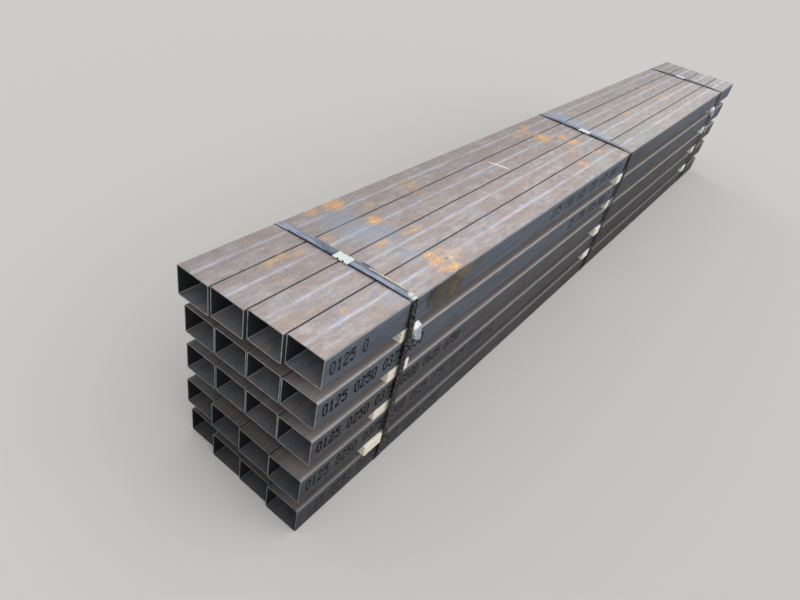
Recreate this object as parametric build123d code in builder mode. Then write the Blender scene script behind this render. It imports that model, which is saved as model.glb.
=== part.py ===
# Bundle of rectangular steel tubes: five layers of four tubes, kept apart by sawn laths
# at three places and held by three steel straps, each closed with a notched seal.
# Millimetres. +X runs along the tubes from the near end to the far end, +Z is up.
# The origin lies on the ground, under the middle of the bundle.
from build123d import *
from math import atan, degrees, sqrt
import os

os.makedirs("parts", exist_ok=True)

# Tubes: 5 x 4 x 1/8 inch cold-formed section, lying with the wide side up
tube_width = 127.0
tube_height = 101.6
tube_wall = 3.2
tube_corner_radius = 6.4
tube_length = 4420.0
side_gap = 1.8
tubes_per_layer = 4

# How far each near end stands behind (+) or in front of (-) its place, left tube first.
# The bottom layer comes first and the top layer last.
end_steps = [
    [5.0, -15.0, -19.0, -28.0],
    [-8.0, -20.0, -26.0, -30.0],
    [-5.0, -4.0, -5.0, -6.0],
    [-7.0, -7.0, -6.0, -5.0],
    [-25.0, -20.0, -10.0, 0.0],
]
layers = len(end_steps)

# Laths: rough sawn 4 inch boards laid across the bundle between the layers
lath_thickness = 44.5
lath_width = 101.6
lath_edge_radius = 2.0

# Straps: one and a quarter inch steel strapping
strap_width = 31.75
strap_thickness = 0.8
strap_clearance = 0.3
strap_bend_radius = 12.0
strap_lap = 150.0
strap_flat = 300.0

# Seals: folded over both ends of a strap and notched twice on each side, with the metal
# beside each notch bent up as two tabs
seal_length = 57.0
seal_wall = 0.9
seal_side_clearance = 0.3
notch_width = 7.0
notch_depth = 5.0
notch_spacing = 19.0
tab_reach = 4.0
tab_height = 2.6

# Distance of each strap's middle from the near end of the last top tube, how much further
# along the bundle its left side lies than its right side, its seal's place across, and how
# high the foot of the tensioning tool left it standing over the top tubes
strap_places = {
    "near": (346.0, -23.0, -4.0, 4.0),
    "middle": (2151.0, 24.0, -2.0, 7.0),
    "far": (4008.0, -18.0, 38.0, 7.0),
}

# Each lath's middle measured from its strap's middle, and how far its left and right ends
# stand out of the bundle, bottom lath first
lath_places = {
    "near": [(-37.0, 6.0, 8.0), (-15.0, 8.0, -2.0), (12.0, 3.0, 1.0), (35.0, 5.0, 1.0)],
    "middle": [(-45.0, 8.0, 2.0), (-40.0, 4.0, 8.0), (-13.0, 6.0, 0.0), (-35.0, 7.0, 6.0)],
    "far": [(-35.0, 5.0, 5.0), (-10.0, 8.0, 5.0), (5.0, 2.0, 8.0), (-18.0, 6.0, 8.0)],
}
lath_overhang = max(max(left, right) for laths in lath_places.values() for _, left, right in laths)

# Lath ends that split beside the strap when it was pulled tight: which side of the strap
# stayed out (+1 the far side), how wide it is, how far it stands out, and how far it rises
# over the lath. Both ends of a board split alike.
split_ends = {
    "near_lath_4": (1, 38.0, 24.0, 10.0),
    "far_lath_3": (1, 26.0, 16.0, 3.0),
    "far_lath_4": (-1, 38.0, 24.0, 3.0),
}
split_strap_gap = 2.5
split_steel_gap = 1.5
split_lip = 4.0
split_root = -10.0

# Places worked out from the sizes above
layer_width = tubes_per_layer * tube_width + (tubes_per_layer - 1) * side_gap
half_width = layer_width / 2
layer_pitch = tube_height + lath_thickness
stack_bottom = strap_thickness
stack_top = stack_bottom + layers * tube_height + (layers - 1) * lath_thickness
first_step = min(min(steps) for steps in end_steps)
last_step = max(max(steps) for steps in end_steps)
near_x = -(tube_length + first_step + last_step) / 2
strap_reach = half_width + lath_overhang + strap_clearance


# Tubes, numbered from the left in each layer, with layer 1 on the ground
for layer in range(layers):
    for column in range(tubes_per_layer):
        start_x = near_x + end_steps[layer][column]
        centre_y = half_width - tube_width / 2 - column * (tube_width + side_gap)
        centre_z = stack_bottom + tube_height / 2 + layer * layer_pitch
        with BuildPart() as tube:
            with BuildSketch(Plane.YZ.offset(start_x)) as section:
                with Locations((centre_y, centre_z)):
                    RectangleRounded(tube_width, tube_height, tube_corner_radius)
                    RectangleRounded(
                        tube_width - 2 * tube_wall,
                        tube_height - 2 * tube_wall,
                        tube_corner_radius - tube_wall,
                        mode=Mode.SUBTRACT,
                    )
            extrude(amount=tube_length)
        node = f"layer_{layer + 1}_tube_{column + 1}"
        tube.part.label = node
        export_step(tube.part, f"parts/{node}.step")


# Laths: four under each strap, one in each gap between two layers
def write_lath(node, centre_x, bottom_z, left_overhang, right_overhang, strap_x, slope):
    top_z = bottom_z + lath_thickness
    with BuildPart() as lath:
        with BuildSketch(Plane.XZ.offset(-half_width - left_overhang)) as section:
            with Locations((centre_x, bottom_z + lath_thickness / 2)):
                RectangleRounded(lath_width, lath_thickness, lath_edge_radius)
        extrude(amount=layer_width + left_overhang + right_overhang)
        if node in split_ends:
            side, width, reach, rise = split_ends[node]
            for end in (-1, 1):
                strap_edge = strap_x + end * slope * half_width + side * strap_width / 2
                first_edge = strap_edge + side * split_strap_gap
                last_edge = first_edge + side * width
                with BuildSketch(Plane.YZ.offset(min(first_edge, last_edge))) as split_end:
                    with BuildLine():
                        Polyline(
                            (end * (half_width + split_root), bottom_z),
                            (end * (half_width + reach), bottom_z),
                            (end * (half_width + reach), bottom_z + lath_thickness / 3),
                            (end * (half_width + split_steel_gap + split_lip), top_z + rise),
                            (end * (half_width + split_steel_gap), top_z + rise),
                            (end * (half_width + split_steel_gap), top_z),
                            (end * (half_width + split_root), top_z),
                            close=True,
                        )
                    make_face()
                extrude(amount=width)
    lath.part.label = node
    export_step(lath.part, f"parts/{node}.step")


# Straps: the loop lies flat under the stack, bows out on both sides over the lath ends and
# rises a little over the top tubes. Growing it by the steel's thickness gives its outer
# line, and stretching it makes up for a strap that doesn't lie square across.
def strap_loop(growth, stretch, rise):
    upper_lath_top = stack_top - tube_height
    lower_lath_bottom = stack_bottom + tube_height
    corners = [
        (strap_flat / 2, stack_top + rise),
        (half_width * stretch, stack_top),
        (strap_reach * stretch, upper_lath_top),
        (strap_reach * stretch, lower_lath_bottom),
        (half_width * stretch, stack_bottom),
    ]
    mirrored = [(-y, z) for y, z in reversed(corners)]
    with BuildSketch() as loop:
        with BuildLine():
            Polyline(*corners, *mirrored, close=True)
        make_face()
        folded = loop.vertices().filter_by(lambda corner: abs(corner.X) > strap_flat / 2 + 1)
        outer_corners = folded.filter_by(lambda corner: abs(corner.X) < strap_reach - lath_overhang / 2)
        bends = folded.filter_by(lambda corner: abs(corner.X) > strap_reach - lath_overhang / 2)
        fillet(outer_corners, tube_corner_radius)
        fillet(bends, strap_bend_radius)
        if growth > 0:
            offset(amount=growth, kind=Kind.ARC)
    return loop.sketch


def write_strap(node, centre_x, slope, seal_y, rise):
    stretch = sqrt(1 + slope**2)
    strap_plane = Plane(
        origin=(centre_x - strap_width / 2, 0, 0), x_dir=(slope, 1, 0), z_dir=(1, -slope, 0)
    )
    with BuildPart() as strap:
        with BuildSketch(strap_plane) as band:
            add(strap_loop(strap_thickness, stretch, rise))
            add(strap_loop(0, stretch, rise), mode=Mode.SUBTRACT)
            with Locations((seal_y * stretch, stack_top + rise + 1.5 * strap_thickness)):
                Rectangle(strap_lap, strap_thickness)
        extrude(amount=strap_width, dir=(1, 0, 0))
    strap.part.label = node
    export_step(strap.part, f"parts/{node}.step")


# Seals: a channel over the two thicknesses of strap, with two notches bitten into each side
def write_seal(node, centre_x, centre_y, slope, rise):
    seal_bottom = stack_top + rise
    inner_height = 2 * strap_thickness
    inner_width = strap_width + 2 * seal_side_clearance
    outer_width = inner_width + 2 * seal_wall
    with BuildPart() as seal:
        with BuildSketch(Plane.XZ.offset(-centre_y - seal_length / 2)) as channel:
            with Locations((centre_x, seal_bottom)):
                Rectangle(outer_width, inner_height + seal_wall, align=(Align.CENTER, Align.MIN))
                Rectangle(inner_width, inner_height, align=(Align.CENTER, Align.MIN), mode=Mode.SUBTRACT)
        extrude(amount=seal_length)
        with BuildSketch(Plane.XY.offset(seal_bottom)) as notches:
            for side in (-1, 1):
                for place in (-notch_spacing / 2, notch_spacing / 2):
                    edge_x = centre_x + side * outer_width / 2
                    with BuildLine():
                        Polyline(
                            (edge_x, centre_y + place - notch_width / 2),
                            (edge_x - side * notch_depth, centre_y + place),
                            (edge_x, centre_y + place + notch_width / 2),
                            close=True,
                        )
                    make_face()
        extrude(amount=inner_height + seal_wall, mode=Mode.SUBTRACT)
        with BuildSketch(Plane.XY.offset(seal_bottom + inner_height + seal_wall)) as tabs:
            for side in (-1, 1):
                for place in (-notch_spacing / 2, notch_spacing / 2):
                    for end in (-1, 1):
                        tab_x = centre_x + side * (outer_width - tab_reach) / 2
                        tab_y = centre_y + place + end * (notch_width + seal_wall) / 2
                        with Locations((tab_x, tab_y)):
                            Rectangle(tab_reach, seal_wall)
        extrude(amount=tab_height)
    turned_seal = seal.part.rotate(Axis((centre_x, centre_y, 0), (0, 0, 1)), -degrees(atan(slope)))
    turned_seal.label = node
    export_step(turned_seal, f"parts/{node}.step")


for place, (distance, skew, seal_y, rise) in strap_places.items():
    strap_x = near_x + distance
    slope = skew / layer_width
    write_strap(f"{place}_strap", strap_x, slope, seal_y, rise)
    write_seal(f"{place}_seal", strap_x + slope * seal_y, seal_y, slope, rise)
    for gap, (shift, left_overhang, right_overhang) in enumerate(lath_places[place]):
        lath_bottom = stack_bottom + tube_height + gap * layer_pitch
        node = f"{place}_lath_{gap + 1}"
        centre_x = strap_x + shift
        write_lath(node, centre_x, lath_bottom, left_overhang, right_overhang, strap_x, slope)
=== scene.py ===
import math
import random
from itertools import product

import bmesh
import bpy
from mathutils import Matrix, Vector, noise


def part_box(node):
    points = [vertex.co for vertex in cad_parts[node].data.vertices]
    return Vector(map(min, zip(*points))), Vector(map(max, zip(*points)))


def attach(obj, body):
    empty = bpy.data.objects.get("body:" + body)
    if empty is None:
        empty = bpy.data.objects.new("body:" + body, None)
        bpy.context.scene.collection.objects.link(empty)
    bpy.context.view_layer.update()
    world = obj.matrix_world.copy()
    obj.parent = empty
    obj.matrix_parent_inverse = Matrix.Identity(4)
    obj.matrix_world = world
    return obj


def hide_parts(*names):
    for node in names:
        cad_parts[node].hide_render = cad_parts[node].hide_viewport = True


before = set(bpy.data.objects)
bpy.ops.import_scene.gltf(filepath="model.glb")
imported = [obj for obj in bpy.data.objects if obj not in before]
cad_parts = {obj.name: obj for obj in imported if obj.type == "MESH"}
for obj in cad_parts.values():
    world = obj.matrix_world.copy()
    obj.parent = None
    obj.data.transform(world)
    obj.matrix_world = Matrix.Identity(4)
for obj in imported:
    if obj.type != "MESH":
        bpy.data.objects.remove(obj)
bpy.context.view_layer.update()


# Tubes: cold-formed rectangular steel, rolled from hot-rolled strip and welded along the
# middle of one wide side. They keep the blue-black mill scale of the strip, dusty and hazed
# brown on the upper faces, with patches of orange rust where water lay.
layers = 5
tubes_per_layer = 4
tube_wall = 0.0032
first_low, first_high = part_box("layer_1_tube_4")
second_low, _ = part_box("layer_2_tube_3")
tube_width = first_high.y - first_low.y
tube_height = first_high.z - first_low.z
column_pitch = second_low.y - first_low.y
layer_pitch = second_low.z - first_low.z
bundle_right = first_low.y
bundle_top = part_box("layer_5_tube_4")[1].z


def linear(code):
    """An sRGB colour in hex, as the linear colour that a socket takes."""
    parts = [int(code[i : i + 2], 16) / 255 for i in (0, 2, 4)]
    return [c / 12.92 if c <= 0.04045 else ((c + 0.055) / 1.055) ** 2.4 for c in parts] + [1.0]


def add_node(tree, kind, sockets=(), **settings):
    """Adds a node with its settings. A list fills the sockets that it shows, from the top, and a
    dict fills them by name. A node stands for its first output, and a string for a colour."""
    node = tree.nodes.new(kind if "Node" in kind else "ShaderNode" + kind)
    for name, value in settings.items():
        setattr(node, name, value)
    shown = [socket for socket in node.inputs if socket.enabled]
    if isinstance(sockets, dict):
        shown = [node.inputs[name] for name in sockets]
        sockets = sockets.values()
    for socket, value in zip(shown, sockets):
        if isinstance(value, bpy.types.Node):
            value = next(output for output in value.outputs if output.enabled)
        if isinstance(value, bpy.types.NodeSocket):
            tree.links.new(value, socket)
        else:
            socket.default_value = linear(value) if isinstance(value, str) else value
    return node


# The setting of a range that eases in and out
eased = {"interpolation_type": "SMOOTHSTEP"}


def new_material(name):
    """A material and its empty node tree."""
    material = bpy.data.materials.new(name)
    material.use_nodes = True
    material.node_tree.nodes.clear()
    return material, material.node_tree


def soft_spot(tree, place, middle, reach, turn=0.0):
    """1 in the middle of a spot, fading to 0 where it ends, this far along x, y and z."""
    sockets = {0: place, "Location": middle, "Rotation": (0.0, 0.0, turn), "Scale": reach}
    spot = add_node(tree, "Mapping", sockets, vector_type="TEXTURE")
    return add_node(tree, "TexGradient", [spot], gradient_type="SPHERICAL").outputs["Fac"]


# Mill scale is a hard oxide skin, so it is no bare metal: dark, blue-grey, with a dull gloss
scale_steel, tree = new_material("mill_scale_on_steel")
coords = add_node(tree, "TexCoord")
place = coords.outputs["Object"]
facing_x, _, facing_z = add_node(tree, "SeparateXYZ", [coords.outputs["Normal"]]).outputs

# Each tube is one cell of a grid, so that it has its own shade and its own run of streaks
cell_size = (100.0, column_pitch, layer_pitch)
cell_y = bundle_right + (tube_width - column_pitch) / 2
cell_z = first_low.z + (tube_height - layer_pitch) / 2
from_corner = add_node(tree, "VectorMath", [place, (-50.0, cell_y, cell_z)], operation="SUBTRACT")
cells = add_node(tree, "VectorMath", [from_corner, cell_size], operation="DIVIDE")
tube_number = add_node(tree, "VectorMath", [cells], operation="FLOOR")
in_cell = add_node(tree, "VectorMath", [cells], operation="FRACTION")
from_middle = add_node(tree, "VectorMath", [in_cell, (0.5, 0.5, 0.5)], operation="SUBTRACT")
in_tube = add_node(tree, "VectorMath", [from_middle, (1.0, column_pitch, layer_pitch)], operation="MULTIPLY")
tube_chance = add_node(tree, "TexWhiteNoise", [tube_number], noise_dimensions="3D")
tube_shift = add_node(tree, "VectorMath", [tube_number, (7.3, 1.7, 2.9)], operation="MULTIPLY")
own_place = add_node(tree, "VectorMath", [place, tube_shift], operation="ADD")
aside = add_node(tree, "VectorMath", [in_tube], operation="ABSOLUTE")
_, aside_y, aside_z = add_node(tree, "SeparateXYZ", [aside]).outputs
_, in_tube_y, in_tube_z = add_node(tree, "SeparateXYZ", [in_tube]).outputs
half_inside_y = add_node(tree, "Math", [aside_y, (tube_width - tube_wall) / 2], operation="LESS_THAN")
half_inside_z = add_node(tree, "Math", [aside_z, (tube_height - tube_wall) / 2], operation="LESS_THAN")
inside = add_node(tree, "Math", [half_inside_y, half_inside_z], operation="MULTIPLY")
end_on = add_node(tree, "Math", [facing_x], operation="ABSOLUTE")
rim = add_node(tree, "Math", [end_on, 0.5], operation="GREATER_THAN")
outside = add_node(tree, "Math", [1.0, inside], operation="SUBTRACT")
upward = add_node(tree, "MapRange", [facing_z, 0.35, 0.95], **eased)
topside = add_node(tree, "Math", [upward, outside], operation="MULTIPLY")

# Patterns in patches of these lengths and widths, in metres, with their detail and roughness:
# what the rolling left, what lies on the scale, and the crumbs and scurf of the rust
patch_sizes = {
    "streaks": (0.4, 0.015, 6.0, 0.62),
    "lines": (0.25, 0.005, 4.0, 0.6),
    "seam_wear": (0.12, 0.03, 4.0, 0.6),
    "blotches": (0.16, 0.06, 5.0, 0.6),
    "mottle": (0.055, 0.024, 6.0, 0.68),
    "flecks": (0.036, 0.018, 5.0, 0.65),
    "grit": (1 / 170, 1 / 220, 3.0, 0.7),
    "crumbs": (0.034, 0.017, 4.0, 0.58),
    "scurf": (0.01, 0.004, 4.0, 0.7),
}
patches = {}
for name, (long, wide, detail, roughness) in patch_sizes.items():
    start = place if name in ("crumbs", "scurf") else own_place
    stretched = add_node(tree, "VectorMath", [start, (1 / long, 1 / wide, 1 / wide)], operation="MULTIPLY")
    patches[name] = add_node(tree, "TexNoise", [stretched, 1.0, detail, roughness])

# Sides: clean scale, bluer in the two upper layers and more purple in the lower three
place_x, place_y, place_z = add_node(tree, "SeparateXYZ", [place]).outputs
upper_layers = add_node(tree, "MapRange", [place_z, 0.40, 0.46], **eased)
side_base = add_node(tree, "Mix", [upper_layers, "2c2b32", "363e4c"], data_type="RGBA")
streak_range = add_node(tree, "MapRange", [patches["streaks"], 0.3, 0.7])
side_pale = add_node(tree, "Mix", [upper_layers, "424047", "4e5763"], data_type="RGBA")
line_range = add_node(tree, "MapRange", [patches["lines"], 0.35, 0.70, 0.0, 0.55])
dark_lines = add_node(tree, "MapRange", [patches["lines"], 0.44, 0.32, 0.0, 0.5])
side_scored = side_base
for amount, colour in ((streak_range, side_pale), (line_range, "5e6067"), (dark_lines, "1f2128")):
    side_scored = add_node(tree, "Mix", [amount, side_scored, colour], data_type="RGBA")
side_softened = add_node(tree, "Mix", [0.85, side_base, side_scored], data_type="RGBA")
# Painted highlight: each side is painted paler just under its rounded upper corner
painted_highlight_under_corner = add_node(tree, "MapRange", [in_tube_z, 0.028, 0.046, 0.0, 0.45], **eased)
side_with_painted_highlight = add_node(tree, "Mix", [painted_highlight_under_corner, side_softened, "5a5c62"], data_type="RGBA")

# Painted shade: the sides in the narrow gaps between tubes are painted dark
edge_place = add_node(tree, "Math", [place_y], operation="ABSOLUTE")
outermost = add_node(tree, "Math", [edge_place, -bundle_right - tube_width / 4], operation="GREATER_THAN")
side_with_painted_gap_shade = add_node(tree, "Mix", [outermost, "232325", side_with_painted_highlight], data_type="RGBA")

# Upper faces: dust and a thin haze over the scale, pinkish brown, straw and slate by turns,
# in flecks of 18 by 36 mm over clouds of 24 by 55 mm
top_tone = add_node(tree, "Mix", [0.6, patches["streaks"], patches["mottle"]], data_type="FLOAT")
top_tone_range = add_node(tree, "MapRange", [top_tone, 0.36, 0.64])
top_base = add_node(tree, "Mix", [top_tone_range, "857f82", "aaa3a1"], data_type="RGBA")
open_to_sky = add_node(tree, "MapRange", [place_z, 0.60, 0.64])
haze_range = add_node(tree, "MapRange", [patches["blotches"], 0.42, 0.62, 0.0, 0.7], **eased)
past_middle = add_node(tree, "MapRange", [place_x, -0.3, 0.3])
haze_colour = add_node(tree, "Mix", [past_middle, "95847d", "928c85"], data_type="RGBA")
top_hazed = add_node(tree, "Mix", [haze_range, top_base, haze_colour], data_type="RGBA")
fleck_colours = [(0.48, 0.70, 0.48, "767e90"), (0.50, 0.70, 0.45, "a39c82"), (0.50, 0.72, 0.45, "a88b82")]
top_flecked = top_hazed
fleck_noises = add_node(tree, "SeparateXYZ", [patches["flecks"].outputs["Color"]]).outputs
for fleck_noise, (low, high, strength, colour) in zip(fleck_noises, fleck_colours):
    amount = add_node(tree, "MapRange", [fleck_noise, low, high, 0.0, strength], **eased)
    top_flecked = add_node(tree, "Mix", [amount, top_flecked, colour], data_type="RGBA")

# The upper faces between the layers are painted darker as shade: grey at the right edge, with a pale
# band of painted light along the tubes' corners there, and browner and darker further in. The
# undersides are dull.
downward = add_node(tree, "MapRange", [facing_z, -0.35, -0.95], **eased)
painted_light_band = add_node(tree, "MapRange", [aside_y, 0.049, 0.061, 0.0, 0.7], **eased)
under = add_node(tree, "Mix", [downward, side_with_painted_gap_shade, "8a7f7a"], data_type="RGBA")
right_edge = add_node(tree, "MapRange", [place_y, -0.19, -0.14])
painted_shade_grey = add_node(tree, "Mix", [streak_range, "68615f", "787170"], data_type="RGBA")
painted_shade_brown = add_node(tree, "Mix", [streak_range, "4c4647", "655c5b"], data_type="RGBA")
painted_shade_with_light_band = add_node(tree, "Mix", [painted_light_band, painted_shade_grey, "969494"], data_type="RGBA")
painted_shade_lower_tops = add_node(tree, "Mix", [right_edge, painted_shade_with_light_band, painted_shade_brown], data_type="RGBA")
top_colour = add_node(tree, "Mix", [open_to_sky, painted_shade_lower_tops, top_flecked], data_type="RGBA")
face_colour = add_node(tree, "Mix", [topside, under, top_colour], data_type="RGBA")

# Weld line: a bright scarfed line 4 mm wide in a paler, faintly violet band 16 mm wide, a
# little to the left of each tube's middle
seam_offset = add_node(tree, "Math", [in_tube_y, 0.0065], operation="SUBTRACT")
seam_aside = add_node(tree, "Math", [seam_offset], operation="ABSOLUTE")
seam_band = add_node(tree, "MapRange", [seam_aside, 0.003, 0.012, 0.38, 0.0], **eased)
seam_line = add_node(tree, "MapRange", [seam_aside, 0.001, 0.0035, 0.45, 0.0], **eased)
seam = add_node(tree, "Math", [seam_band, seam_line], operation="ADD")
seam_broken = add_node(tree, "MapRange", [patches["seam_wear"], 0.35, 0.6, 0.3, 1.0])
# Painted highlight: towards the far end the weld line is painted brighter, as a glint
far_glint = add_node(tree, "MapRange", [place_x, 1.4, 1.8, 1.0, 1.9])
for part in (topside, open_to_sky, seam_broken, far_glint):
    seam = add_node(tree, "Math", [seam, part], operation="MULTIPLY")
with_seam = add_node(tree, "Mix", [seam, face_colour, "b8bccb"], data_type="RGBA", clamp_factor=True)

# Corners: scale rubbed thin along the outer edges, with a painted highlight on them that is brighter
# on the lower layers, and painted shade in the seams between
corner_in = add_node(tree, "MapRange", [facing_z, 0.05, 0.35], **eased)
corner_out = add_node(tree, "MapRange", [facing_z, 0.90, 0.995, 1.0, 0.0], **eased)
seam_out = add_node(tree, "MapRange", [facing_z, 0.50, 0.80, 1.0, 0.0], **eased)
round_out = add_node(tree, "Mix", [outermost, seam_out, corner_out], data_type="FLOAT")
corner = corner_in
for part in (round_out, outside, 0.9):
    corner = add_node(tree, "Math", [corner, part], operation="MULTIPLY")
rubbed_and_highlit = add_node(tree, "Mix", [open_to_sky, "949292", "7b7f85"], data_type="RGBA")
corner_highlight_and_seam_shade = add_node(tree, "Mix", [outermost, "55555b", rubbed_and_highlit], data_type="RGBA")
with_corner_highlight_and_seam_shade = add_node(tree, "Mix", [corner, with_seam, corner_highlight_and_seam_shade], data_type="RGBA")

# Bluish, sage and brownish places on the upper faces, where the strip cooled unevenly, with a
# painted shadow by the near strap, a pale ring round a grey middle and two flecks. Each line is
# the middle (x, y), the half length, the half width, the strength and the colour.
clouds = [
    (-1.7, 0.15, 0.11, 0.16, 0.8, "8c9aaa"),
    (-1.66, 0.02, 0.13, 0.1, 0.7, "8c9aaa"),
    (-1.66, -0.12, 0.1, 0.06, 0.6, "8c9aaa"),
    (-1.88, -0.215, 0.08, 0.04, 0.6, "8b98a4"),
    # A painted shadow beside the near strap, under its loose end
    (-1.824, -0.07, 0.014, 0.038, 1.8, "444a56"),
    (-1.31, 0.13, 0.045, 0.2, 0.6, "9a8a76"),
    (-1.25, -0.1, 0.06, 0.12, 0.5, "8d949c"),
    (0.035, 0.13, 0.07, 0.2, 1.1, "8ea1b6"),
    (0.03, -0.06, 0.06, 0.12, 0.9, "90a0b4"),
    (0.16, 0.06, 0.08, 0.26, 0.7, "9d9c86"),
    (0.3, -0.18, 0.3, 0.12, 0.5, "8d9490"),
    (-0.33, -0.205, 0.14, 0.05, 0.9, "98a39c"),
    (1.9, 0.0, 0.3, 0.3, 0.5, "8a8890"),
    (-2.154, -0.15, 0.027, 0.022, 1.1, "bca6a6"),
    (-2.152, -0.15, 0.019, 0.015, 1.6, "a19fa2"),
    (-1.59, -0.196, 0.012, 0.01, 3.0, "79828a"),
    (-1.573, -0.202, 0.014, 0.009, 3.0, "c2c3b0"),
]
# Rust where water lay, in the same way, without a colour
rust_places = [
    (-1.732, 0.234, 0.03, 0.02, 0.8),
    (-1.642, 0.228, 0.04, 0.028, 1.0),
    (-1.54, 0.16, 0.045, 0.022, 0.5),
    (-1.3, 0.167, 0.05, 0.05, 0.45),
    (-2.01, 0.112, 0.055, 0.02, 0.65),
    (-2.045, 0.098, 0.03, 0.014, 0.45),
    (-1.93, 0.098, 0.055, 0.02, 0.4),
    (-2.01, 0.175, 0.04, 0.02, 0.35),
    (-1.808, 0.1, 0.03, 0.02, 0.5),
    (-1.605, 0.08, 0.028, 0.024, 1.0),
    (-1.697, -0.018, 0.024, 0.014, 0.9),
    (-1.545, -0.031, 0.045, 0.014, 0.6),
    (-1.615, -0.15, 0.028, 0.016, 1.0),
    (-1.57, -0.156, 0.026, 0.01, 0.7),
    (-1.63, -0.184, 0.042, 0.018, 1.0),
    (-1.608, -0.236, 0.03, 0.014, 1.0),
    (-1.64, -0.222, 0.026, 0.012, 0.9),
    (-1.54, -0.19, 0.06, 0.04, 0.45),
    (-2.0, -0.16, 0.045, 0.024, 0.35),
    (-0.447, 0.182, 0.026, 0.022, 0.8),
    (-0.355, 0.183, 0.035, 0.03, 0.8),
    (-0.3, 0.208, 0.022, 0.025, 0.8),
    (-0.328, 0.096, 0.048, 0.034, 1.0),
    (-0.223, 0.041, 0.03, 0.02, 1.0),
    (-0.227, -0.021, 0.038, 0.022, 1.0),
    (-0.32, -0.073, 0.03, 0.028, 0.5),
    (-0.428, -0.16, 0.048, 0.032, 0.58),
    (-0.222, -0.145, 0.036, 0.016, 0.7),
    (-0.135, -0.245, 0.04, 0.022, 0.4),
    (0.532, -0.025, 0.065, 0.026, 0.5),
    (1.044, 0.227, 0.07, 0.022, 0.4),
    (1.139, -0.037, 0.07, 0.024, 0.6),
    (1.222, 0.112, 0.08, 0.026, 0.55),
]
cloud_patches = add_node(tree, "MapRange", [patches["mottle"], 0.35, 0.60, 1.5, 0.3])
clouded = with_corner_highlight_and_seam_shade
for x, y, half_long, half_wide, strength, colour in clouds:
    amount = soft_spot(tree, place, (x, y, bundle_top), (half_long, half_wide, 0.05))
    for part in (strength, cloud_patches):
        amount = add_node(tree, "Math", [amount, part], operation="MULTIPLY")
    clouded = add_node(tree, "Mix", [amount, clouded, colour], data_type="RGBA", clamp_factor=True)

# A white scratch, turned a little from square across
scratch_middle = (-0.8185, 0.0575, bundle_top)
scratch_glow = soft_spot(tree, place, scratch_middle, (0.006, 0.060, 0.01), math.radians(14))
scratch = add_node(tree, "MapRange", [scratch_glow, 0.05, 0.3])
with_scratch = add_node(tree, "Mix", [scratch, clouded, "dedcd8"], data_type="RGBA")

# Rust spreads from the middle of each place in crumbs, as a thin film with crusts on it
warp = add_node(tree, "TexNoise", [place, 30.0, 4.0, 0.6])
warp_range = [warp.outputs["Color"], (0.06, 0.05, 0.0), (-0.030, -0.025, 0.0)]
warp_size = add_node(tree, "VectorMath", warp_range, operation="MULTIPLY_ADD")
warped = add_node(tree, "VectorMath", [place, warp_size], operation="ADD")
wet = 0.0
for x, y, half_long, half_wide, strength in rust_places:
    glow = soft_spot(tree, warped, (x, y, bundle_top), (half_long * 1.8, half_wide * 1.8, 0.04))
    amount = add_node(tree, "Math", [glow, 1.3 * strength], operation="MULTIPLY")
    wet = add_node(tree, "Math", [wet, amount], operation="MAXIMUM")
crumb_noises = add_node(tree, "SeparateXYZ", [patches["crumbs"].outputs["Color"]])
film_noise, crust_noise, stain_noise = crumb_noises.outputs
rust_layers = []
for crumb_noise, contrast, low, high in ((film_noise, 1.5, 0.76, 1.26), (crust_noise, 2.0, 1.32, 1.70)):
    crumbled = add_node(tree, "Math", [crumb_noise, contrast, (1 - contrast) / 2], operation="MULTIPLY_ADD")
    crumbled = add_node(tree, "Math", [crumbled, wet], operation="ADD")
    rust_layers.append(add_node(tree, "MapRange", [crumbled, low, high, 0.0, 0.9], **eased))
rust_film, rust_crust = rust_layers
scurf_range = add_node(tree, "MapRange", [patches["scurf"], 0.38, 0.62])
film_colour = add_node(tree, "Mix", [scurf_range, "ab8e72", "ccab88"], data_type="RGBA")
crust_colour = add_node(tree, "Mix", [scurf_range, "c2844e", "e8be8a"], data_type="RGBA")
with_film = add_node(tree, "Mix", [rust_film, with_scratch, film_colour], data_type="RGBA")
with_rust = add_node(tree, "Mix", [rust_crust, with_film, crust_colour], data_type="RGBA")

# Stains on the top layer's right side, where rusty water ran down from its upper face. Each
# line is the middle (x, z), the half length, the half height, the strength and the colour.
stains = [
    (-1.735, 0.655, 0.04, 0.045, 1.0, "1d201b"),
    (-1.7, 0.63, 0.045, 0.055, 0.9, "39392c"),
    (-1.62, 0.64, 0.06, 0.07, 1.0, "413a2f"),
    (-1.614, 0.622, 0.016, 0.03, 0.45, "6a5a44"),
    (-1.555, 0.668, 0.06, 0.02, 0.8, "62543f"),
    (-1.48, 0.665, 0.05, 0.018, 0.6, "4a4238"),
]
on_side = add_node(tree, "Math", [1.0, upward], operation="SUBTRACT")
with_stain = with_rust
for x, z, half_long, half_high, strength, colour in stains:
    glow = soft_spot(tree, warped, (x, bundle_right, z), (half_long, 0.03, half_high))
    crumbled = add_node(tree, "Math", [stain_noise, 3.6, glow], operation="MULTIPLY_ADD")
    amount = add_node(tree, "MapRange", [crumbled, 1.50, 2.20, 0.0, strength], **eased)
    within = add_node(tree, "Math", [glow, 0.0], operation="GREATER_THAN")
    for part in (within, on_side):
        amount = add_node(tree, "Math", [amount, part], operation="MULTIPLY")
    with_stain = add_node(tree, "Mix", [amount, with_stain, colour], data_type="RGBA")

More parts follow.
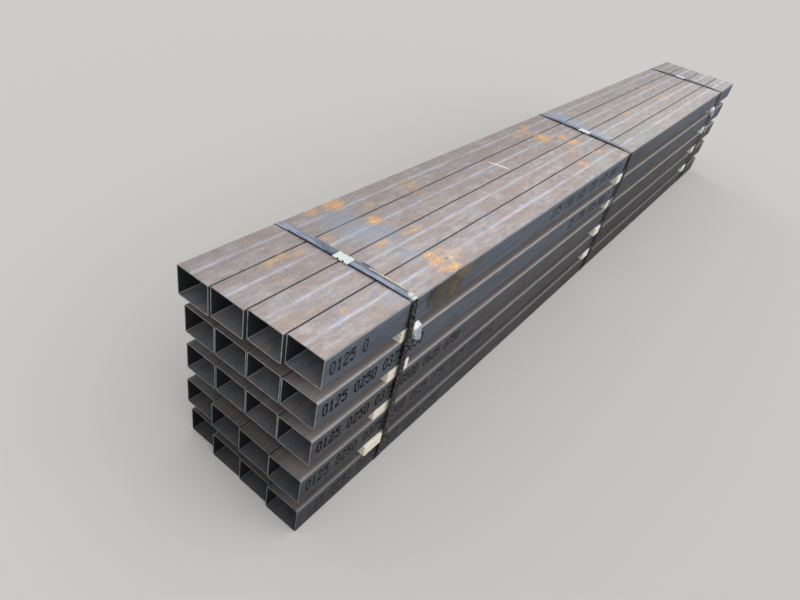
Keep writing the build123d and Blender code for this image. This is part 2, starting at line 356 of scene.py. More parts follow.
# Inside, the walls and roof are painted near black as shade, brown dust lies on the floor of each
# tube, and the folded corners along it carry a painted highlight
dusty_floor = add_node(tree, "Mix", [haze_range, "5e636a", "6f6664"], data_type="RGBA")
shaded_walls_and_dusty_floor = add_node(tree, "Mix", [upward, "181b21", dusty_floor], data_type="RGBA")
inner_fold = add_node(tree, "Math", [facing_z, 0.55, 0.3], operation="COMPARE")
fold_highlight_amount = add_node(tree, "Math", [inner_fold, 0.6], operation="MULTIPLY")
inside_with_fold_highlight = add_node(tree, "Mix", [fold_highlight_amount, shaded_walls_and_dusty_floor, "8c949c"], data_type="RGBA")
with_inside = add_node(tree, "Mix", [inside, with_stain, inside_with_fold_highlight], data_type="RGBA")

# Cut ends: bare sawn steel, dulled grey
sawn = add_node(tree, "Mix", [streak_range, "76797b", "a2a4a4"], data_type="RGBA")
with_rim = add_node(tree, "Mix", [rim, with_inside, sawn], data_type="RGBA")

# Each tube has its own shade, at random. The rest is painted light and shade: upper faces are
# painted paler towards the right and the far end, the lower layers darker, and the sides darker
# towards the far end and just past the middle strap.
tone_and_painted_shade = add_node(tree, "MapRange", [tube_chance, 0.0, 1.0, 0.92, 1.08])
mottle_depth = add_node(tree, "MapRange", [topside, 0.0, 1.0, 0.22, 0.06])
mottle_part = add_node(tree, "MapRange", [patches["mottle"], 0.3, 0.7, -1.0, 1.0])
mottle_shade = add_node(tree, "Math", [mottle_part, mottle_depth, 1.0], operation="MULTIPLY_ADD")
grit_shade = add_node(tree, "MapRange", [patches["grit"], 0.3, 0.7, 0.82, 1.18])
painted_light_across = add_node(tree, "MapRange", [place_y, -0.2, 0.2, 1.38, 0.97])
painted_light_across_tops = add_node(tree, "Mix", [topside, 1.28, painted_light_across], data_type="FLOAT")
painted_shade_by_layer = add_node(tree, "MapRange", [place_z, 0.05, 0.66, 0.36, 1.0])
painted_light_far_tops = add_node(tree, "MapRange", [place_x, -0.3, 0.5, 1.10, 1.17])
painted_shadow_start = add_node(tree, "MapRange", [place_x, -0.09, -0.08])
painted_shadow_top_layer = add_node(tree, "MapRange", [place_x, 0.1, 0.9, 0.45, 0.0])
top_layer = add_node(tree, "Math", [place_z, 0.57], operation="GREATER_THAN")
painted_shadow_lower_layers = add_node(tree, "MapRange", [place_x, 0.1, 1.4, 0.45, 0.18])
painted_shadow_by_layer = add_node(tree, "Mix", [top_layer, painted_shadow_lower_layers, painted_shadow_top_layer], data_type="FLOAT")
painted_shadow_run = add_node(tree, "Math", [painted_shadow_start, painted_shadow_by_layer], operation="MULTIPLY")
painted_shade_towards_far_end = add_node(tree, "MapRange", [place_x, -1.2, 0.4, 1.0, 0.85])
painted_shade_on_far_sides = add_node(tree, "Math", [painted_shade_towards_far_end, painted_shadow_run], operation="SUBTRACT")
painted_light_and_shade_far = add_node(tree, "Mix", [topside, painted_shade_on_far_sides, painted_light_far_tops], data_type="FLOAT")
for part in (painted_light_across_tops, painted_light_and_shade_far, painted_shade_by_layer, mottle_shade, grit_shade):
    tone_and_painted_shade = add_node(tree, "Math", [tone_and_painted_shade, part], operation="MULTIPLY")
colour_with_tone_and_painted_shade = add_node(tree, "VectorMath", [with_rim, tone_and_painted_shade], operation="SCALE")
scale_rough = add_node(tree, "MapRange", [patches["blotches"], 0.3, 0.7, 0.55, 0.7])
rusty_rough = add_node(tree, "Mix", [rust_film, scale_rough, 0.85], data_type="FLOAT")
scale_bump = add_node(tree, "Bump", {"Height": patches["grit"], "Strength": 0.12, "Distance": 0.0006})
scale_looks = {"Base Color": colour_with_tone_and_painted_shade, "Roughness": rusty_rough, "IOR": 1.45, "Normal": scale_bump}
scale_shader = add_node(tree, "BsdfPrincipled", scale_looks)
add_node(tree, "OutputMaterial", [scale_shader])

for layer in range(layers):
    for column in range(tubes_per_layer):
        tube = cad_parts[f"layer_{layer + 1}_tube_{column + 1}"]
        tube.data.materials.clear()
        tube.data.materials.append(scale_steel)


# Marking: plain distances in millimetres, jetted in black ink dots on the right-hand sides
# as the tubes ran off the mill. The dots are 8 mm wide and stand a quarter millimetre proud.
dot_width = 0.0080
dot_height = 0.0005
dot_rows_pitch = 0.0063
dot_columns_pitch = 0.0037
digit_pitch = 0.025
digit_dots = {
    "0": "01110 10001 10001 10001 10001 10001 01110",
    "1": "00100 01100 00100 00100 00100 00100 01110",
    "2": "01110 10001 00001 00110 01000 10000 11111",
    "3": "01110 10001 00001 00110 00001 10001 01110",
    "4": "00010 00110 01010 10010 11111 00010 00010",
    "5": "11111 10000 11110 00001 00001 10001 01110",
    "6": "01110 10000 10000 11110 10001 10001 01110",
    "7": "11111 00001 00010 00100 00100 01000 01000",
    "8": "01110 10001 10001 01110 10001 10001 01110",
    "9": "01110 10001 10001 01111 00001 00001 01110",
}
# Where the marking can be read on each layer, along x
marked_runs = {
    5: [(-2.18, -2.03), (-0.96, -0.17)],
    4: [(-2.195, -1.74), (-0.65, -0.17)],
    3: [(-2.20, -1.435)],
    2: [(-2.225, -1.15)],
    1: [(-2.20, -1.5)],
}
dot_places = []
for layer, runs in marked_runs.items():
    low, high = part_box(f"layer_{layer}_tube_4")
    middle_z = (low.z + high.z) / 2 + 0.004
    for start, end in runs:
        distance = math.ceil((start - low.x) / digit_pitch) * digit_pitch
        while low.x + distance < end:
            # Four digits and a space, every 125 mm
            group, letter = divmod(round(distance / digit_pitch), 5)
            if letter:
                digit = f"{(group + 1) * 125:04d}"[letter - 1]
                for row, dots in enumerate(digit_dots[digit].split()):
                    for column, dot in enumerate(dots):
                        if dot == "1":
                            x = low.x + distance + column * dot_columns_pitch
                            dot_places.append((x, low.y, middle_z + (3 - row) * dot_rows_pitch))
            distance += digit_pitch


def new_object(name, data):
    """An object in the scene that holds this mesh, lamp or camera."""
    made = bpy.data.objects.new(name, data)
    bpy.context.collection.objects.link(made)
    return made


def keep_result(made, modifier):
    """Makes what a modifier gives the object's own mesh, and removes the modifier."""
    bpy.context.view_layer.update()
    evaluated = made.evaluated_get(bpy.context.evaluated_depsgraph_get())
    result = bpy.data.meshes.new_from_object(evaluated)
    made.modifiers.remove(modifier)
    made.data = result


dots_mesh = bpy.data.meshes.new("distance_marks")
dots_mesh.from_pydata(dot_places, [], [])
dots = new_object("distance_marks", dots_mesh)

# Marking ink is thin and matt, and looks dark grey where it soaked into dusty scale
marking_ink, tree = new_material("jetted_marking_ink")
coords = add_node(tree, "TexCoord")
place_x, _, place_z = add_node(tree, "SeparateXYZ", [coords.outputs["Object"]]).outputs
ink_patches = add_node(tree, "TexNoise", [coords.outputs["Object"], 60.0, 3.0])
fade_down = add_node(tree, "MapRange", [place_z, 0.05, 0.30, 1.5, 0.15])
fade_along = add_node(tree, "MapRange", [place_x, -1.95, -1.5, 0.0, 0.9])
fade_up = add_node(tree, "MapRange", [place_z, 0.55, 0.60, 0.0, 0.9])
fade = fade_down
for part in (fade_along, fade_up):
    fade = add_node(tree, "Math", [fade, part], operation="ADD")
patchy_fade = add_node(tree, "Math", [fade, ink_patches], operation="MULTIPLY")
ink_colour = add_node(tree, "Mix", [patchy_fade, "040406", "42464e"], data_type="RGBA")
ink_shader = add_node(tree, "BsdfPrincipled", {"Base Color": ink_colour, "Roughness": 0.9, "IOR": 1.3})
add_node(tree, "OutputMaterial", [ink_shader])

dot_tree = bpy.data.node_groups.new("ink_dots", "GeometryNodeTree")
dot_sockets = {}
for name, in_out, kind in (
    ("Dots", "INPUT", "NodeSocketGeometry"),
    ("Dot width", "INPUT", "NodeSocketFloat"),
    ("Dot height", "INPUT", "NodeSocketFloat"),
    ("Inked dots", "OUTPUT", "NodeSocketGeometry"),
):
    dot_sockets[name] = dot_tree.interface.new_socket(name, in_out=in_out, socket_type=kind)
given = add_node(dot_tree, "NodeGroupInput")
radius = add_node(dot_tree, "Math", [given.outputs["Dot width"], 0.5], operation="MULTIPLY")
dot_sizes = {"Vertices": 7, "Radius": radius, "Depth": given.outputs["Dot height"]}
dot = add_node(dot_tree, "GeometryNodeMeshCylinder", dot_sizes)
on_points = {"Points": given.outputs["Dots"], "Instance": dot, "Rotation": (math.radians(90), 0, 0)}
placed = add_node(dot_tree, "GeometryNodeInstanceOnPoints", on_points)
real_dots = add_node(dot_tree, "GeometryNodeRealizeInstances", {"Geometry": placed})
inked = add_node(dot_tree, "GeometryNodeSetMaterial", {"Geometry": real_dots, "Material": marking_ink})
add_node(dot_tree, "NodeGroupOutput", {0: inked})
maker = dots.modifiers.new("ink_dots", "NODES")
maker.node_group = dot_tree
for name, size in (("Dot width", dot_width), ("Dot height", dot_height)):
    maker[dot_sockets[name].identifier] = size
keep_result(dots, maker)
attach(dots, "root")


# Straps: blued steel strapping 32 mm wide, pulled tight and lapped under the seal. They stay
# as the CAD has them, and the two cut ends of the near one lie over it past the seal.
layer_width = 0.5134
strap_slopes = {"near": -0.023 / layer_width, "middle": 0.024 / layer_width, "far": -0.018 / layer_width}
strap_width = 0.03175
strap_thickness = 0.0008
strap_flat = 0.150
# Each one's worn blue, deep blue, which also paints a shadow along its near edge, and specks, and
# how far across that painted shadow reaches
strap_blues = {
    "near": ("b2b9ca", "535e76", "a09c96", -0.0105),
    "middle": ("8e94a2", "202227", "26262a", -0.004),
    "far": ("7d8490", "202227", "36363a", 0.004),
}
blued_steel = {}
for place_name, (worn_blue, deep_blue_and_shadow_colour, speck_colour, shadow_edge_reach) in strap_blues.items():
    strap_low, strap_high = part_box(f"{place_name}_strap")
    blued_steel[place_name], tree = new_material(f"blued_steel_{place_name}_strap")
    coords = add_node(tree, "TexCoord")
    place = coords.outputs["Object"]
    facing_z = add_node(tree, "SeparateXYZ", [coords.outputs["Normal"]]).outputs["Z"]
    place_x, place_y, _ = add_node(tree, "SeparateXYZ", [place]).outputs

    # How far a point lies from the strap's own middle line, towards the far end
    strap_x = (strap_low.x + strap_high.x) / 2
    middle_line = add_node(tree, "Math", [place_y, strap_slopes[place_name], strap_x], operation="MULTIPLY_ADD")
    across = add_node(tree, "Math", [place_x, middle_line], operation="SUBTRACT")

    # Wax smeared along it in streaks 8 mm wide, and a painted shadow along its edge towards the near end
    wax_place = add_node(tree, "VectorMath", [place, (1 / 0.008, 1 / 0.06, 1 / 0.06)], operation="MULTIPLY")
    wax = add_node(tree, "TexNoise", [wax_place, 1.0, 5.0, 0.65])
    wax_range = add_node(tree, "MapRange", [wax, 0.35, 0.65, -0.45, 0.35])
    painted_shadow_edge = add_node(tree, "MapRange", [across, -0.013, shadow_edge_reach, 1.0, 0.0])
    darkening_and_painted_shadow = painted_shadow_edge
    if place_name == "near":
        # The lapped end on the left is deep blue, and so is the far half of the one on the right
        lap_start = add_node(tree, "MapRange", [place_y, -0.03, -0.02])
        lap_end = add_node(tree, "MapRange", [place_y, 0.085, 0.115, 0.7, 0.3])
        left_lap = add_node(tree, "Math", [lap_start, lap_end], operation="MULTIPLY")
        far_half = add_node(tree, "MapRange", [across, 0.001, 0.008])
        right_lap = add_node(tree, "MapRange", [place_y, -0.20, -0.03, 0.9, 0.6])
        right_deep = add_node(tree, "Math", [far_half, right_lap], operation="MULTIPLY")
        on_right = add_node(tree, "Math", [place_y, -0.025], operation="LESS_THAN")
        right_part = add_node(tree, "Math", [right_deep, on_right], operation="MULTIPLY")
        by_seal = add_node(tree, "MapRange", [place_y, -0.13, -0.07, 0.0, 0.25])
        by_corner = add_node(tree, "MapRange", [place_y, -0.18, -0.21, 0.0, 0.5])
        by_either = add_node(tree, "Math", [by_seal, by_corner], operation="MAXIMUM")
        right_shade = add_node(tree, "Math", [right_part, by_either], operation="MAXIMUM")
        for part in (left_lap, right_shade):
            darkening_and_painted_shadow = add_node(tree, "Math", [darkening_and_painted_shadow, part], operation="MAXIMUM")
    uneven = add_node(tree, "Math", [darkening_and_painted_shadow, wax_range], operation="ADD")
    blue = add_node(tree, "Mix", [uneven, worn_blue, deep_blue_and_shadow_colour], data_type="RGBA", clamp_factor=True)

    if place_name == "near":
        # Rust came through along the far edge of its loose end
        rust_edge = add_node(tree, "MapRange", [across, 0.0120, 0.0150])
        rust_start = add_node(tree, "MapRange", [place_y, -0.075, -0.085, -0.3, 1.0])
        rust_run = add_node(tree, "Math", [wax, 1.6, rust_start], operation="MULTIPLY_ADD")
        rust_worn = add_node(tree, "MapRange", [rust_run, 1.6, 1.9])
        gold = add_node(tree, "Math", [rust_edge, rust_worn], operation="MULTIPLY")
        blue = add_node(tree, "Mix", [gold, blue, "fff0cc"], data_type="RGBA")

        # Where it turns down over the last tube's corner, a white spot is painted on as a highlight
        bend_highlight_glow = soft_spot(tree, place, (-1.832, -0.243, bundle_top), (0.018, 0.024, 0.012))
        bend_highlight = add_node(tree, "MapRange", [bend_highlight_glow, 0.1, 0.5], **eased)
        blue = add_node(tree, "Mix", [bend_highlight, blue, "eeeeea"], data_type="RGBA")

    # Down the sides it is black with dirt, with brown and bare specks of 5 mm, but none along the edge
    # towards the near end, which stays black as a painted shadow
    dirt_place = add_node(tree, "VectorMath", [place, (1 / 0.005, 1 / 0.005, 1 / 0.009)], operation="MULTIPLY")
    dirt = add_node(tree, "TexNoise", [dirt_place, 1.0, 4.0, 0.7])
    dirt_range = add_node(tree, "MapRange", [dirt, 0.50, 0.64], **eased)
    clear_of_painted_shadow = add_node(tree, "MapRange", [across, -0.012, -0.005])
    specks = add_node(tree, "Math", [dirt_range, clear_of_painted_shadow], operation="MULTIPLY")
    dirty = add_node(tree, "Mix", [specks, "101013", speck_colour], data_type="RGBA")
    on_top = add_node(tree, "MapRange", [facing_z, 0.5, 0.9], **eased)
    strap_colour = add_node(tree, "Mix", [on_top, dirty, blue], data_type="RGBA")
    wax_rough = add_node(tree, "MapRange", [wax, 0.3, 0.7, 0.28, 0.45])
    strap_rough = add_node(tree, "Mix", [on_top, 0.6, wax_rough], data_type="FLOAT")
    strap_looks = {"Base Color": strap_colour, "Metallic": 1.0, "Roughness": strap_rough}
    strap_shader = add_node(tree, "BsdfPrincipled", strap_looks)
    add_node(tree, "OutputMaterial", [strap_shader])
    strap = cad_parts[f"{place_name}_strap"]
    strap.data.materials.clear()
    strap.data.materials.append(blued_steel[place_name])


def strap_over_top(place_name, y):
    """The middle of a strap's upper face over the top tubes, as (x, z)."""
    low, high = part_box(f"{place_name}_strap")
    rise = high.z - bundle_top - 2 * strap_thickness
    half_bundle = -bundle_right
    slack = min(1.0, (half_bundle - abs(y)) / (half_bundle - strap_flat))
    return (low.x + high.x) / 2 + strap_slopes[place_name] * y, bundle_top + rise * slack + strap_thickness


def mesh_object(name, shell, material):
    """Turns a bmesh into an object of one material."""
    mesh = bpy.data.meshes.new(name)
    shell.to_mesh(mesh)
    shell.free()
    mesh.materials.append(material)
    return new_object(name, mesh)


def bridge(shell, columns):
    """Joins neighbouring columns of points with faces and closes both ends."""
    for before, after in zip(columns, columns[1:]):
        for k in range(len(before)):
            shell.faces.new((before[k], before[k - 1], after[k - 1], after[k]))
    shell.faces.new(columns[0])
    shell.faces.new(columns[-1][::-1])


# Each loose end: where it starts and ends across the bundle, how far it strays from the
# strap's line, and how far it lies off the strap
strap_tails = [(0.026, 0.203, 0.000, 0.0008), (-0.030, -0.244, 0.0035, 0.0003)]
steel_gap = 0.0003
tail_steps = 24
tail_corners = ((-1, 0), (1, 0), (1, 1), (-1, 1))
tail_shell = bmesh.new()
for start_y, end_y, drift, lift in strap_tails:
    columns = []
    for k in range(tail_steps + 1):
        part = k / tail_steps
        y = start_y + (end_y - start_y) * part
        x, z = strap_over_top("near", y)
        x += drift * (0.3 + 0.7 * part)
        z += steel_gap + lift
        corners = [(x + side * strap_width / 2, y, z + up * strap_thickness) for side, up in tail_corners]
        columns.append([tail_shell.verts.new(corner) for corner in corners])
    bridge(tail_shell, columns)
bmesh.ops.recalc_face_normals(tail_shell, faces=tail_shell.faces)
tails = mesh_object("near_strap_tails", tail_shell, blued_steel["near"])
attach(tails, "root")


# Seals: galvanised steel channels folded over both ends of a strap, with two notches sheared
# into each side. The metal of each notch is bent up as a small tab.
seal_length = 0.057
seal_width = 0.03415
seal_height = 0.0025
seal_wall = 0.0009
seal_bend = 0.0012
seal_steps = 38
notch_middles = (-0.0095, 0.0095)
notch_half = 0.0035
notch_depth = 0.0050
tab_height = 0.0032
tab_lean = 0.000624
tab_edge = 0.0008

# Zinc coating: pale, faintly bluish, dulled metal with a soft spangle of 3 mm
zinc_seal, tree = new_material("galvanised_sheet_steel")
coords = add_node(tree, "TexCoord")
spangle = add_node(tree, "TexVoronoi", [coords.outputs["Object"], 300.0])
zinc_colour = add_node(tree, "Mix", [spangle, "f4fbfb", "d3dee0"], data_type="RGBA")
zinc_shader = add_node(tree, "BsdfPrincipled", {"Base Color": zinc_colour, "Metallic": 0.3, "Roughness": 0.45})
add_node(tree, "OutputMaterial", [zinc_shader])


def seal_section():
    """Half the folded section, from the top's middle to the lower edge of the side."""
    half = seal_width / 2
    flat = half - seal_bend
    points = [(half * k / 8 * flat / half, seal_height) for k in range(9)]
    for k in range(1, 4):
        turn = math.pi / 2 * k / 3
        points.append((flat + seal_bend * math.sin(turn), seal_height - seal_bend * (1 - math.cos(turn))))
    return points + [(half, seal_height - seal_bend - 0.0006), (half, 0.0001)]


for place_name in strap_slopes:
    low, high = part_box(f"{place_name}_seal")
    centre = Vector(((low.x + high.x) / 2, (low.y + high.y) / 2, low.z))
    shell = bmesh.new()
    half_section = seal_section()
    section = [(-x, z) for x, z in reversed(half_section[1:])] + half_section
    stations = [-seal_length / 2 + seal_length * k / seal_steps for k in range(seal_steps + 1)]
    rows = []
    for station in stations:
        row = []
        for x, z in section:
            dent = 0.00025 * noise.noise(Vector((x * 90, station * 90 + centre.x * 7, 0)))
            row.append(shell.verts.new((x, station, z + dent)))
        rows.append(row)

    # The sheet is left open where it was bitten
    for k in range(seal_steps):
        middle = (stations[k] + stations[k + 1]) / 2
        from_notch = min(abs(middle - notch) for notch in notch_middles)
        uncut = seal_width / 2 - notch_depth * max(0.0, 1 - from_notch / (notch_half * 1.6)) - 0.0002
        for j in range(len(section) - 1):
            across = abs(section[j][0] + section[j + 1][0]) / 2
            if across <= uncut or from_notch >= notch_half:
                shell.faces.new((rows[k][j], rows[k][j + 1], rows[k + 1][j + 1], rows[k + 1][j]))

    # Each tab turns up from the edge of its notch and narrows to its tip
    for notch, side, end in product(notch_middles, (-1, 1), (-1, 1)):
        inner = side * (seal_width / 2 - notch_depth * 0.75)
        reach = side * (seal_width / 2 + 0.0004) - inner
        strip = []
        for k in range(5):
            part = k / 4
            turn = math.pi / 2 * part
            y = notch + end * (notch_half - tab_lean * (1 - math.cos(turn)) + tab_edge * part)
            z = seal_height + tab_height * math.sin(turn)
            low_z = z - tab_edge * (1 - part)
            narrowed = 0.225 * part
            corners = ((inner + reach * narrowed, y, z), (inner + reach * (1 - narrowed), y, low_z))
            strip.append([shell.verts.new(corner) for corner in corners])
        for (a, b), (c, d) in zip(strip, strip[1:]):
            shell.faces.new((a, b, d, c))
    bmesh.ops.delete(shell, geom=[v for v in shell.verts if not v.link_faces], context="VERTS")
    bmesh.ops.recalc_face_normals(shell, faces=shell.faces)
    for face in shell.faces:
        face.smooth = True
    seal = mesh_object(f"{place_name}_seal_folded", shell, zinc_seal)
    wall = seal.modifiers.new("wall", "SOLIDIFY")
    wall.thickness = seal_wall
    wall.offset = -1.0 if seal.data.polygons[0].normal.z > 0 else 1.0
    keep_result(seal, wall)
    turn = Matrix.Rotation(-math.atan(strap_slopes[place_name]), 4, "Z")
    seal.data.transform(Matrix.Translation(centre) @ turn)
    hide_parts(f"{place_name}_seal")
    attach(seal, "root")


# Laths: rough sawn softwood boards laid across the bundle between its layers, one under
# every strap. The saw left them fuzzy, their edges are worn round, and where the strap was
# pulled tight three of them split beside it and stick out.
lath_thickness = 0.0445
half_bundle = (tube_width + 3 * column_pitch) / 2
strap_half = strap_width / 2
# How far each end stands out of the bundle, left and right, the lowest lath first
lath_ends = {
    "near": [(0.006, 0.008), (0.008, -0.002), (0.003, 0.001), (0.005, 0.001)],
    "middle": [(0.008, 0.002), (0.004, 0.008), (0.006, 0.000), (0.007, 0.006)],
    "far": [(0.005, 0.005), (0.008, 0.005), (0.002, 0.008), (0.006, 0.008)],
}
# Which side of the strap the split end is on (1 is the far side), its width, how far it
# reaches out and how far it rises over its board
split_ends = {
    "near_lath_4": (1, 0.038, 0.024, 0.010),
    "far_lath_3": (1, 0.026, 0.016, 0.003),
    "far_lath_4": (-1, 0.038, 0.024, 0.003),
}

# Pine: cream wood with tan growth rings 5 mm apart, grey where the saw left fuzz, in lines 4 mm
# wide. Its torn fibres are nearly white, streaked with grey-blue painted shade that is deepest in
# the hollow of a split end.
sawn_pine, tree = new_material("rough_sawn_pine")
coords = add_node(tree, "TexCoord")
values = {}
for name in ("board", "torn", "hollow"):
    values[name] = add_node(tree, "Attribute", attribute_name=name, attribute_type="GEOMETRY")
board = values["board"].outputs["Vector"]
wobble = add_node(tree, "TexNoise", [board, 12.0, 2.0])
board_x, _, board_z = add_node(tree, "SeparateXYZ", [board]).outputs
across_board = add_node(tree, "CombineXYZ", [board_x, 0.0, board_z])
from_pith = add_node(tree, "VectorMath", [across_board], operation="LENGTH")
wobble_size = add_node(tree, "Math", [wobble, 0.006], operation="MULTIPLY")
ring_place = add_node(tree, "Math", [from_pith, wobble_size], operation="ADD")
ring_turn = add_node(tree, "Math", [ring_place, 1 / 0.005], operation="MULTIPLY")
ring_part = add_node(tree, "Math", [ring_turn], operation="FRACT")
late_wood = add_node(tree, "MapRange", [ring_part, 0.55, 0.95], **eased)
wood = add_node(tree, "Mix", [late_wood, "f8f2e6", "dccdb0"], data_type="RGBA")
fuzz_place = add_node(tree, "VectorMath", [board, (1 / 0.004, 1 / 0.03, 1 / 0.004)], operation="MULTIPLY")
fuzz = add_node(tree, "TexNoise", [fuzz_place, 1.0, 5.0, 0.7])
grey_range = add_node(tree, "MapRange", [fuzz, 0.45, 0.75, 0.0, 0.6])
weathered = add_node(tree, "Mix", [grey_range, wood, "dedbd4"], data_type="RGBA")
fibre_place = add_node(tree, "VectorMath", [board, (1 / 0.004, 1 / 0.02, 1 / 0.02)], operation="MULTIPLY")
fibre_noise = add_node(tree, "TexNoise", [fibre_place, 1.0, 3.0, 0.6])
hollow = values["hollow"].outputs["Fac"]
fibres_with_painted_hollow_shade = add_node(tree, "Math", [hollow, 0.4, fibre_noise], operation="MULTIPLY_ADD")
fibre_range = add_node(tree, "MapRange", [fibres_with_painted_hollow_shade, 0.42, 0.95])
white_and_shaded_fibres = add_node(tree, "Mix", [fibre_range, "ffffff", "8e99a5"], data_type="RGBA")
wood_with_fibres_light_and_shade = add_node(tree, "Mix", [values["torn"].outputs["Fac"], weathered, white_and_shaded_fibres], data_type="RGBA")
saw_bump = add_node(tree, "Bump", {"Height": fuzz, "Strength": 0.6, "Distance": 0.0012})
pine_looks = {"Base Color": wood_with_fibres_light_and_shade, "Roughness": 0.85, "IOR": 1.45, "Normal": saw_bump}
pine_shader = add_node(tree, "BsdfPrincipled", pine_looks)
add_node(tree, "OutputMaterial", [pine_shader])


corner_radius = 0.0025
board_steps = 24
end_stations = [0.0, 0.0015, 0.004, 0.008, 0.014, 0.022]
# A split end starts this far inside the bundle and this far beside the strap. Past its width
# the board broke off, this far inside.
split_root = -0.012
split_gap = 0.0025
broken_off = 0.035


def board_outline(half_wide, half_thick):
    """A worn rectangular section, as points round it."""
    points = []
    for number, (side, up) in enumerate(((1, 1), (-1, 1), (-1, -1), (1, -1))):
        middle = Vector((side * (half_wide - corner_radius), up * (half_thick - corner_radius)))
        for k in range(4):
            turn = math.pi / 2 * (number + k / 3)
            points.append(middle + corner_radius * Vector((math.cos(turn), math.sin(turn))))
        start = points[-1]
        steps, finish = (5, Vector((start.x, -start.y))) if number % 2 else (9, Vector((-start.x, start.y)))
        points += [start.lerp(finish, k / steps) for k in range(1, steps)]
    return points


def torn_profile(part, bottom, reach, rise):
    """A split end's outline at a part of its width, as (how far out, z) points round it."""
    crest = math.sqrt(1 - ((part - 0.48) / 0.88) ** 2)
    low = reach * (0.55 + 0.45 * math.sin(math.pi * min(1.0, 0.15 + 0.75 * part)))
    lip = 0.0075 + 0.002 * math.sin(7 * part)
    droop = 0.018 * part
    top = bottom + lath_thickness * (0.12 + 0.88 * crest) - 0.001
    lift = rise * max(0.0, crest - 0.85) / 0.15
    return [
        (split_root, bottom + 0.001),
        (0.0, bottom + 0.001),
        (low * 0.45, bottom - droop * 0.4),
        (low * 0.9, bottom - droop),
        (low, bottom + 0.003 - droop),
        (low * 0.99, bottom + 0.009 - droop * 0.6),
        (low * 0.92, bottom + 0.016 - droop * 0.2),
        (low * 0.8 + lip * 0.1, bottom + 0.6 * (top - bottom)),
        (low * 0.6 + lip * 0.3, bottom + 0.8 * (top - bottom)),
        (low * 0.3 + lip * 0.7, bottom + 0.95 * (top - bottom)),
        (lip * 0.8, top + lift * 0.6),
        (0.0042, top + lift),
        (0.0022, top + lift * 0.8),
        (0.0018, top),
        (split_root / 2, top - 0.001),
        (split_root, top - 0.001),
    ]


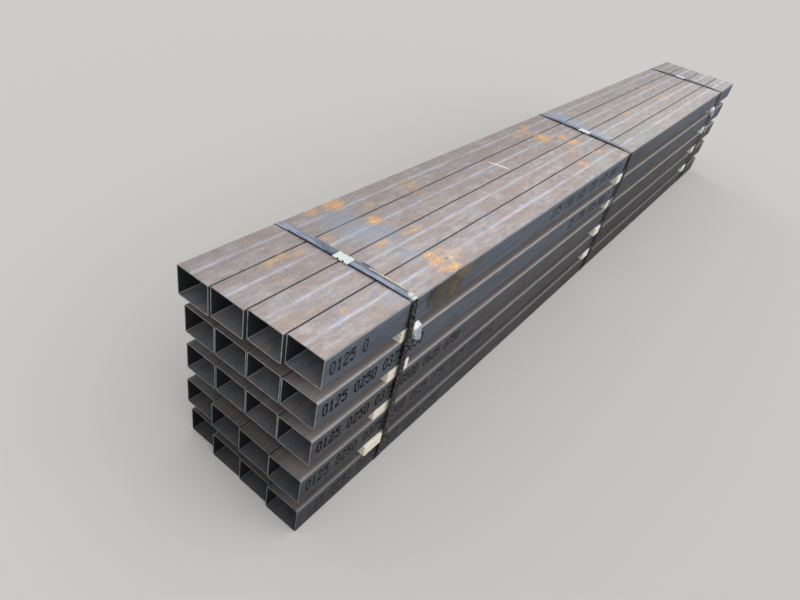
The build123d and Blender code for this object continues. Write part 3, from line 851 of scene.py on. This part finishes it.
for place_name, gap in product(lath_ends, range(4)):
    name = f"{place_name}_lath_{gap + 1}"
    strap_low, strap_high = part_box(f"{place_name}_strap")
    strap_x = (strap_low.x + strap_high.x) / 2
    low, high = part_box(name)
    centre_x = (low.x + high.x) / 2
    centre_z = low.z + lath_thickness / 2
    left, right = lath_ends[place_name][gap]
    start_y, end_y = -half_bundle - right, half_bundle + left
    outline = board_outline((high.x - low.x) / 2, lath_thickness / 2)

    # Where the board lay in its log. The first draw isn't used.
    chance = random.Random(name)
    chance.random()
    pith = Vector((chance.uniform(-0.06, 0.06), chance.uniform(0, 1), chance.uniform(0.03, 0.07)))
    log = pith.y * 9

    # The board's sides, uneven by half a millimetre, with its end edges tucked in
    between = end_y - start_y - 2 * end_stations[-1]
    stations = [start_y + d for d in end_stations]
    stations += [start_y + end_stations[-1] + between * k / board_steps for k in range(1, board_steps)]
    stations += [end_y - d for d in reversed(end_stations)]
    timber = bmesh.new()
    rings = []
    for station in stations:
        from_end = min(station - start_y, end_y - station)
        tuck = 0.0012 * max(0.0, 1 - from_end / end_stations[1])
        ring = []
        for point in outline:
            x, z = point - point.normalized() * tuck
            rough = abs(0.0005 * noise.noise(Vector((x * 60, station * 40 + log, z * 60))))
            ragged = 0.0006 * noise.noise(Vector((x * 200, log, z * 200))) if from_end == 0.0 else 0.0
            corner = (centre_x + x - math.copysign(rough, x), station + ragged, centre_z + z)
            ring.append(timber.verts.new(corner))
        rings.append(ring)
    for before, after in zip(rings, rings[1:]):
        for k in range(len(outline)):
            timber.faces.new((before[k], before[k - 1], after[k - 1], after[k]))

    # Its ends, in rings towards the middle
    for ring, turned in ((rings[0], 1), (rings[-1], -1)):
        outer = ring
        for shrink in (0.8, 0.5, 0.2):
            inner = []
            for vert, point in zip(ring, outline):
                dent = 0.0003 * noise.noise(Vector((point.x * 300, shrink * 9, point.y * 300)))
                corner = (centre_x + point.x * shrink, vert.co.y - turned * dent, centre_z + point.y * shrink)
                inner.append(timber.verts.new(corner))
            for k in range(len(outline)):
                corners = (inner[k], inner[k - 1], outer[k - 1], outer[k])
                timber.faces.new(corners[::turned])
            outer = inner
        timber.faces.new(outer[::-turned])
    board_verts = len(timber.verts)

    if name in split_ends:
        side, width, reach, rise = split_ends[name]
        for vert in timber.verts:
            end = 1 if vert.co.y > 0 else -1
            strap_edge = strap_x + strap_slopes[place_name] * end * half_bundle + side * strap_half
            past_split = side * (vert.co.x - strap_edge) > split_gap + width - 0.006
            too_far = end * vert.co.y - (half_bundle - broken_off)
            if past_split and too_far > 0:
                vert.co.y -= end * too_far * 0.95
        for end in (-1, 1):
            edge_x = strap_x + strap_slopes[place_name] * end * half_bundle + side * (strap_half + split_gap)
            columns = []
            for k in range(17):
                part = k / 16
                column = []
                for number, (out, z) in enumerate(torn_profile(part, low.z, reach, rise)):
                    ragged = 0.0016 if 1 < number < 12 else 0.0
                    out += ragged * noise.noise(Vector((part * 9, z * 160, log)))
                    x = edge_x + side * width * part
                    x += 0.0012 * noise.noise(Vector((part * 3, out * 120, z * 90)))
                    column.append(timber.verts.new((x, end * (half_bundle + out), z)))
                columns.append(column)
            bridge(timber, columns)
    bmesh.ops.recalc_face_normals(timber, faces=timber.faces)

    # Every point knows its place in the log, how much torn-fibre colour it takes, and whether it
    # lies in the shaded hollow of a split end
    board_values = timber.verts.layers.float_vector.new("board")
    torn_values = timber.verts.layers.float.new("torn")
    hollow_values = timber.verts.layers.float.new("hollow")
    for number, vert in enumerate(timber.verts):
        # Plain ends take some of it too, as fraying and painted light: past the strap, middle and far laths
        fraying_and_painted_light = 0.45 if place_name == "middle" else 0.0
        if vert.co.x > strap_x + strap_half:
            fraying_and_painted_light = 0.7
        if place_name == "far":
            fraying_and_painted_light = 0.8
        on_split = number >= board_verts
        by_end = abs(vert.co.y) > half_bundle - 0.05
        vert[board_values] = Vector((vert.co.x - centre_x, vert.co.y, vert.co.z - centre_z)) + pith
        vert[torn_values] = 1.0 if on_split else fraying_and_painted_light * by_end
        vert[hollow_values] = float(on_split and 3 <= (number - board_verts) % 16 <= 8)
    for face in timber.faces:
        face.smooth = True
    lath = mesh_object(f"{name}_sawn", timber, sawn_pine)
    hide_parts(name)
    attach(lath, "root")


# Floor: a plain pale sheet that the bundle lies on. What the steel receives from it is
# toned down, so that its sides stay dark.
def seen_rays(tree):
    """1 for the rays that show a thing, straight, in a gloss or through a surface."""
    rays = add_node(tree, "LightPath").outputs
    seen = rays["Is Camera Ray"]
    for ray in (rays["Is Glossy Ray"], rays["Is Transmission Ray"]):
        seen = add_node(tree, "Math", [seen, ray], operation="MAXIMUM")
    return seen


plain_floor, tree = new_material("plain_pale_floor")
floor_colour = add_node(tree, "Mix", [seen_rays(tree), "918b80", "cfcdca"], data_type="RGBA")
floor_shader = add_node(tree, "BsdfDiffuse", {"Color": floor_colour})
add_node(tree, "OutputMaterial", [floor_shader])
floor_mesh = bpy.data.meshes.new("floor")
floor_corners = [(-40, -40, 0), (40, -40, 0), (40, 40, 0), (-40, 40, 0)]
floor_mesh.from_pydata(floor_corners, [], [(0, 1, 2, 3)])
floor_mesh.materials.append(plain_floor)
floor = new_object("floor", floor_mesh)


# Light: a broad soft sky light from the right and above and a low fill from the left, in a
# pale room
world = bpy.data.worlds.new("pale_room")
bpy.context.scene.world = world
world.use_nodes = True
tree = world.node_tree
tree.nodes.clear()
room_strength = add_node(tree, "MapRange", [seen_rays(tree), 0.0, 1.0, 0.55, 0.8])
room = add_node(tree, "Background", {"Color": (1.0, 1.0, 1.0, 1.0), "Strength": room_strength})
add_node(tree, "OutputWorld", [room])

# Each lamp's strength, how wide it is in degrees, and where it shines from
lamps = {
    "overhead_sky": (1.8, 100, (-0.3, -0.9, 1.0)),
    "left_fill": (1.5, 20, (0.3, 1.0, 0.04)),
}
for name, (energy, spread, direction) in lamps.items():
    lamp = bpy.data.lights.new(name, "SUN")
    lamp.energy = energy
    lamp.angle = math.radians(spread)
    lamp_object = new_object(name, lamp)
    lamp_object.matrix_world = Vector(direction).to_track_quat("Z", "Y").to_matrix().to_4x4()


# Camera: where the photograph was taken from, 1.7 m up and 0.8 m before the near ends
camera = bpy.data.cameras.new("camera")
camera.sensor_fit = "HORIZONTAL"
camera.sensor_width = 36.0
camera.lens = 27.29
camera.clip_start = 0.05
camera_object = new_object("camera", camera)
right = Vector((0.59855, -0.78102, 0.17817))
up = Vector((0.39425, 0.48081, 0.78319))
back = Vector((-0.69735, -0.39854, 0.59571))
turned = Matrix((right, up, back)).transposed().to_4x4()
camera_object.matrix_world = Matrix.Translation((-3.0226, -0.8867, 1.6683)) @ turned
bpy.context.scene.camera = camera_object
bpy.context.scene.view_settings.view_transform = "Standard"


bpy.context.view_layer.update()
